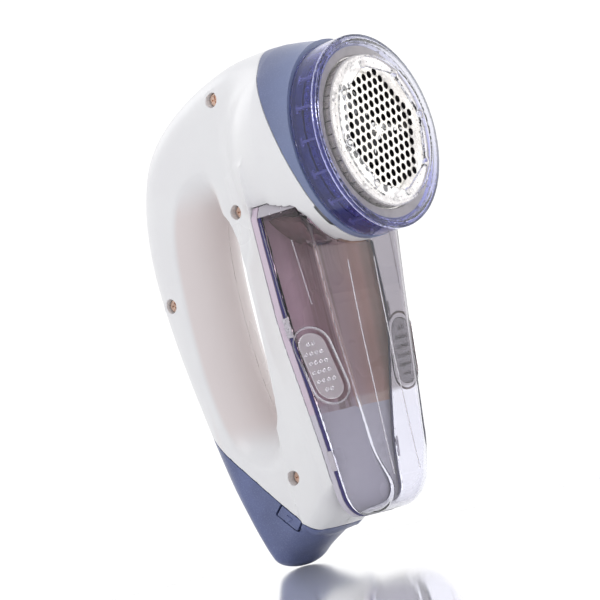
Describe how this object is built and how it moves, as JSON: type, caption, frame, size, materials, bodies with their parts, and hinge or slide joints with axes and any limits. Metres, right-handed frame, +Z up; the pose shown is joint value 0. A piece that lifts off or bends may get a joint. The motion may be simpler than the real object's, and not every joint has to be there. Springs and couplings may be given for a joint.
{
  "type": "fabric shaver",
  "caption": "Hand-held battery fabric shaver with a finger-loop handle, a foil head behind a clear height guard, a clear lint box and a slide-off battery cover.",
  "frame": {"origin": "middle of the whole object in X and Y, at the height of the foot", "axes": "+Z up through the handle, -Y towards the shaving head's front, +X across the handle"},
  "size_m": [0.0732, 0.1036, 0.1703],
  "materials": {
    "white_shell": "gloss",
    "blue_trim": "satin",
    "clear_guard": "clear gloss, faint blue",
    "clear_box": "clear gloss, smoky",
    "foil_steel": "etched foil",
    "ring_grey": "satin",
    "blade_steel": "ground",
    "spring_steel": "drawn wire",
    "inner_white": "matte",
    "motor_steel": "zinc plated",
    "black_plastic": "matte",
    "brass": "plain",
    "cell_wrap": "printed wrap",
    "wire_red": "sleeved wire",
    "wire_black": "sleeved wire"
  },
  "bodies": {
    "housing": {"housing_left": "white_shell", "housing_right": "white_shell", "switch_body": "black_plastic", "head_collar": "blue_trim", "cutter_chamber": "inner_white", "shaft_bush": "brass", "motor_can": "motor_steel", "motor_end_cap": "black_plastic", "motor_terminal_left": "brass", "motor_terminal_right": "brass", "motor_bracket": "inner_white", "lint_chute": "inner_white", "battery_cell_left": "cell_wrap", "battery_cell_right": "cell_wrap", "contact_plate_left": "brass", "contact_plate_right": "brass", "wire_battery": "wire_red", "wire_motor": "wire_black", "wire_switch": "wire_red", "housing_screw_1": "motor_steel", "housing_screw_2": "motor_steel", "housing_screw_3": "motor_steel", "housing_screw_4": "motor_steel"},
    "guard": {"height_guard": "clear_guard"},
    "foil": {"foil": "foil_steel", "foil_ring": "ring_grey"},
    "cutter": {"motor_shaft": "blade_steel", "blade_carrier": "black_plastic", "blade_1": "blade_steel", "blade_2": "blade_steel", "blade_3": "blade_steel", "fan": "black_plastic", "blade_spring": "spring_steel", "blade_cap": "brass"},
    "lint_box": {"lint_box": "clear_box", "lint_box_back": "clear_box"},
    "switch": {"switch_knob": "blue_trim"},
    "battery_cover": {"battery_cover": "blue_trim", "cover_contact": "brass", "battery_spring_left": "spring_steel", "battery_spring_right": "spring_steel"},
    "cover_latch": {"cover_latch": "blue_trim"}
  },
  "joints": [
    {"name": "cutter_spin", "type": "hinge", "parent": "housing", "child": "cutter", "pos_m": [0, -0.04, 0.1325], "axis": [0, 1, 0], "continuous": true},
    {"name": "guard_turn", "type": "hinge", "parent": "housing", "child": "guard", "pos_m": [0, -0.04, 0.1325], "axis": [0, -1, 0], "range_deg": [0, 40]},
    {"name": "foil_turn", "type": "hinge", "parent": "housing", "child": "foil", "pos_m": [0, -0.044, 0.1325], "axis": [0, -1, 0], "range_deg": [0, 25]},
    {"name": "lint_box_slide", "type": "slide", "parent": "housing", "child": "lint_box", "axis": [0, 0, -1], "range_m": [0, 0.03]},
    {"name": "switch_slide", "type": "slide", "parent": "housing", "child": "switch", "axis": [0, 0.8829, -0.4695], "range_m": [0, 0.003]},
    {"name": "cover_slide", "type": "slide", "parent": "housing", "child": "battery_cover", "axis": [0, -0.2164, -0.9763], "range_m": [0, 0.03]},
    {"name": "latch_press", "type": "hinge", "parent": "battery_cover", "child": "cover_latch", "pos_m": [-0.0161, 0.01569, 0.01195], "axis": [0, 0.6886, 0.7251], "range_deg": [0, 6], "stiffness_Nm_per_rad": 0.02}
  ]
}
